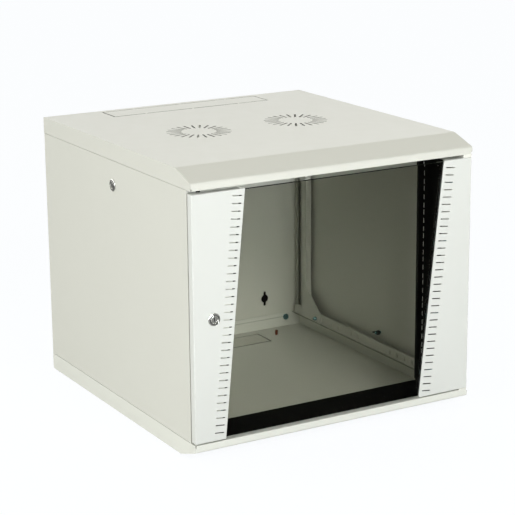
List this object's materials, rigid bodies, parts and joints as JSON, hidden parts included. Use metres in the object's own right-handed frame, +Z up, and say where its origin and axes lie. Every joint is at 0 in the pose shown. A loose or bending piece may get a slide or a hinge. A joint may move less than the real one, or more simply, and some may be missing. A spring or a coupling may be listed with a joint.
{
  "type": "network server rack cabinet",
  "caption": "Wall-mount 19-inch network cabinet: steel shell, hinged smoked-glass door between slanted vented strips, lift-off side panels and an adjustable black rack frame.",
  "frame": {"origin": "centre of the flat underside of the base tray", "axes": "+Z up, -Y out of the glass door (front), +X to the hinged side of the door, which is on the viewer's right"},
  "size_m": [0.5752, 0.6026, 0.505],
  "materials": {
    "shell_paint": "light warm-grey powder coat, satin, very fine texture",
    "rack_paint": "black powder coat, satin",
    "smoked_glass": "grey-tinted toughened glass, polished",
    "chrome_plate": "bright chrome plate",
    "zinc_plate": "blue zinc plate",
    "copper_plate": "copper-plated weld stud",
    "black_foam": "black closed-cell foam",
    "black_plastic": "black moulded plastic",
    "nylon": "natural nylon"
  },
  "bodies": {
    "root": {"roof_cap": "shell_paint", "roof_knockout": "shell_paint", "base_tray": "shell_paint", "base_knockout": "shell_paint", "back_panel": "shell_paint", "back_panel_screws": "zinc_plate", "left_front_post": "shell_paint", "right_front_post": "shell_paint", "left_rear_post": "shell_paint", "right_rear_post": "shell_paint", "left_lower_rail": "shell_paint", "right_lower_rail": "shell_paint", "left_upper_rail": "shell_paint", "right_upper_rail": "shell_paint", "frame_screws": "zinc_plate", "base_earth_stud": "copper_plate", "hinge_bushes": "nylon"},
    "rack_frame": {"left_upright": "rack_paint", "right_upright": "rack_paint", "lower_crossbar": "rack_paint", "upper_crossbar": "rack_paint", "crossbar_screws": "rack_paint", "crossbar_nuts": "zinc_plate", "rack_clamp_bolts": "zinc_plate", "rack_clamp_nuts": "zinc_plate"},
    "door": {"door_left_strip": "shell_paint", "door_right_strip": "shell_paint", "door_glass": "smoked_glass", "left_glass_gasket": "black_foam", "right_glass_gasket": "black_foam", "glass_clips": "zinc_plate", "glass_clip_nuts": "zinc_plate", "upper_hinge_pin": "chrome_plate", "lower_hinge_pin": "chrome_plate", "door_lock_barrel": "chrome_plate", "door_lock_nut": "zinc_plate"},
    "door_lock": {"door_lock_plug": "chrome_plate", "door_lock_cam": "zinc_plate", "door_lock_screw": "zinc_plate"},
    "left_panel": {"left_side_panel": "shell_paint", "left_panel_stud": "zinc_plate", "left_wing_nut": "black_plastic", "left_lock_barrel": "chrome_plate", "left_lock_nut": "zinc_plate"},
    "left_lock": {"left_lock_plug": "chrome_plate", "left_lock_cam": "zinc_plate", "left_lock_screw": "zinc_plate"},
    "right_panel": {"right_side_panel": "shell_paint", "right_panel_stud": "zinc_plate", "right_wing_nut": "black_plastic", "right_lock_barrel": "chrome_plate", "right_lock_nut": "zinc_plate"},
    "right_lock": {"right_lock_plug": "chrome_plate", "right_lock_cam": "zinc_plate", "right_lock_screw": "zinc_plate"}
  },
  "joints": [
    {"name": "door_hinge", "type": "hinge", "parent": "root", "child": "door", "pos_m": [0.278, -0.294, 0.2505], "axis": [0, 0, 1], "range_deg": [0, 170]},
    {"name": "door_lock_turn", "type": "hinge", "parent": "door", "child": "door_lock", "pos_m": [-0.245, -0.3, 0.25], "axis": [0, 1, 0], "range_deg": [0, 90]},
    {"name": "left_panel_off", "type": "slide", "parent": "root", "child": "left_panel", "axis": [-1, 0, 0], "range_m": [0, 0.15]},
    {"name": "left_lock_turn", "type": "hinge", "parent": "left_panel", "child": "left_lock", "pos_m": [-0.285, -0.004, 0.429], "axis": [1, 0, 0], "range_deg": [0, 90]},
    {"name": "right_panel_off", "type": "slide", "parent": "root", "child": "right_panel", "axis": [1, 0, 0], "range_m": [0, 0.15]},
    {"name": "right_lock_turn", "type": "hinge", "parent": "right_panel", "child": "right_lock", "pos_m": [0.285, -0.004, 0.429], "axis": [1, 0, 0], "range_deg": [0, 90]},
    {"name": "rack_depth", "type": "slide", "parent": "root", "child": "rack_frame", "axis": [0, 1, 0], "range_m": [0, 0.045]}
  ]
}
